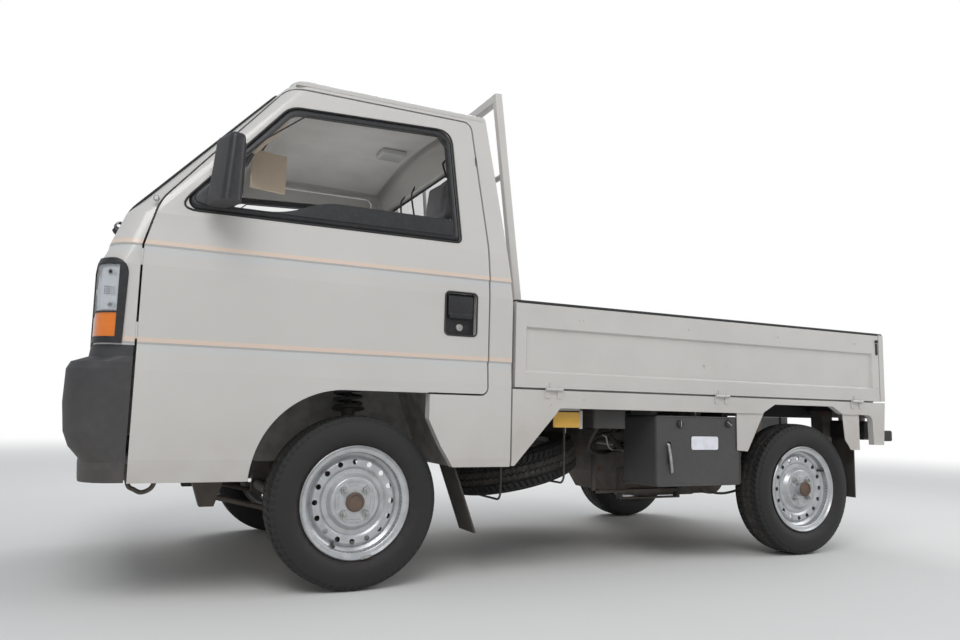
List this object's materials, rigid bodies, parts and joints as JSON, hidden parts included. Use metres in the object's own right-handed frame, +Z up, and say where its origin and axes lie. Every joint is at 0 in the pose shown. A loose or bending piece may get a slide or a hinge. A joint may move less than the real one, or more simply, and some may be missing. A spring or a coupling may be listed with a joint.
{
  "type": "kei truck",
  "caption": "Small cab-over pickup truck with a drop-side bed, guard frame behind the cab, hinged doors and gates, steered front wheels and a spare wheel slung underneath.",
  "frame": {"origin": "on the ground, midway between the bumper's front and the rear rubber stops, on the centre plane", "axes": "+X towards the truck's front, +Y to its left side, +Z up"},
  "size_m": [3.2339, 1.7256, 1.701],
  "materials": {
    "body_paint": "gloss, warm off-white",
    "inner_paint": "satin",
    "glass": "clear",
    "lamp_glass": "clear, ribbed",
    "amber_lens": "translucent",
    "red_lens": "translucent",
    "black_plastic": "satin",
    "grey_plastic": "grained",
    "dash_plastic": "grained",
    "box_plastic": "satin",
    "seat_cloth": "woven",
    "frame_black": "satin",
    "cast_metal": "rough",
    "exhaust_steel": "dull",
    "soft_rubber": "matt",
    "tyre_rubber": "matt",
    "wheel_silver": "silver paint"
  },
  "bodies": {
    "chassis": {"cab_front_panel": "body_paint", "cab_side_panels": "body_paint", "cab_back_panel": "body_paint", "roof": "body_paint", "windscreen": "glass", "rear_window": "glass", "lamp_bezels": "black_plastic", "headlamps": "lamp_glass", "indicators": "amber_lens", "bumper": "grey_plastic", "cab_floor": "inner_paint", "dashboard": "dash_plastic", "seat_left": "seat_cloth", "seat_right": "seat_cloth", "steering_wheel": "dash_plastic", "bed_floor": "body_paint", "bed_side_left": "body_paint", "bed_side_right": "body_paint", "rear_beam": "body_paint", "tail_lamps": "red_lens", "rear_stops": "soft_rubber", "guard_frame": "body_paint", "chassis_frame": "frame_black", "spare_cradles": "frame_black", "front_arms": "frame_black", "rear_axle": "frame_black", "leaf_springs": "frame_black", "engine_block": "cast_metal", "exhaust": "exhaust_steel", "battery_box": "box_plastic", "fuel_tank": "frame_black", "spare_tyre": "tyre_rubber", "spare_rim": "wheel_silver", "underbody_covers": "box_plastic", "mud_flaps": "soft_rubber", "brake_hose": "soft_rubber"},
    "door_left": {"door_left": "body_paint", "door_glass_left": "glass", "door_trim_left": "black_plastic"},
    "side_gate_left": {"side_gate_left": "body_paint"},
    "knuckle_left": {"front_strut_left": "frame_black"},
    "wheel_front_left": {"tyre_front_left": "tyre_rubber", "rim_front_left": "wheel_silver"},
    "wheel_rear_left": {"tyre_rear_left": "tyre_rubber", "rim_rear_left": "wheel_silver"},
    "door_right": {"door_right": "body_paint", "door_glass_right": "glass", "door_trim_right": "black_plastic"},
    "side_gate_right": {"side_gate_right": "body_paint"},
    "knuckle_right": {"front_strut_right": "frame_black"},
    "wheel_front_right": {"tyre_front_right": "tyre_rubber", "rim_front_right": "wheel_silver"},
    "wheel_rear_right": {"tyre_rear_right": "tyre_rubber", "rim_rear_right": "wheel_silver"},
    "tailgate": {"tailgate": "body_paint"}
  },
  "joints": [
    {"name": "door_left_hinge", "type": "hinge", "parent": "chassis", "child": "door_left", "pos_m": [1.43386, 0.696, 0.8], "axis": [0, 0, -1], "range_deg": [0, 65]},
    {"name": "door_right_hinge", "type": "hinge", "parent": "chassis", "child": "door_right", "pos_m": [1.43386, -0.696, 0.8], "axis": [0, 0, 1], "range_deg": [0, 65]},
    {"name": "side_gate_left_hinge", "type": "hinge", "parent": "chassis", "child": "side_gate_left", "pos_m": [-0.64, 0.7045, 0.631], "axis": [-1, 0, 0], "range_deg": [0, 175]},
    {"name": "side_gate_right_hinge", "type": "hinge", "parent": "chassis", "child": "side_gate_right", "pos_m": [-0.64, -0.7045, 0.631], "axis": [1, 0, 0], "range_deg": [0, 175]},
    {"name": "tailgate_hinge", "type": "hinge", "parent": "chassis", "child": "tailgate", "pos_m": [-1.586, 0, 0.631], "axis": [0, -1, 0], "range_deg": [0, 166]},
    {"name": "steer_left", "type": "hinge", "parent": "chassis", "child": "knuckle_left", "pos_m": [0.785, 0.545, 0.165], "axis": [-0.0313, -0.1731, 0.9844], "range_deg": [-33, 33]},
    {"name": "steer_right", "type": "hinge", "parent": "chassis", "child": "knuckle_right", "pos_m": [0.785, -0.545, 0.165], "axis": [-0.0313, 0.1731, 0.9844], "range_deg": [-33, 33]},
    {"name": "wheel_front_left_spin", "type": "hinge", "parent": "knuckle_left", "child": "wheel_front_left", "pos_m": [0.785, 0.5955, 0.265], "axis": [0, 1, 0], "continuous": true},
    {"name": "wheel_front_right_spin", "type": "hinge", "parent": "knuckle_right", "child": "wheel_front_right", "pos_m": [0.785, -0.5955, 0.265], "axis": [0, 1, 0], "continuous": true},
    {"name": "wheel_rear_left_spin", "type": "hinge", "parent": "chassis", "child": "wheel_rear_left", "pos_m": [-1.115, 0.5955, 0.265], "axis": [0, 1, 0], "continuous": true},
    {"name": "wheel_rear_right_spin", "type": "hinge", "parent": "chassis", "child": "wheel_rear_right", "pos_m": [-1.115, -0.5955, 0.265], "axis": [0, 1, 0], "continuous": true}
  ],
  "couplings": [
    {"joint": "steer_right", "follows": "steer_left", "ratio": 1}
  ]
}
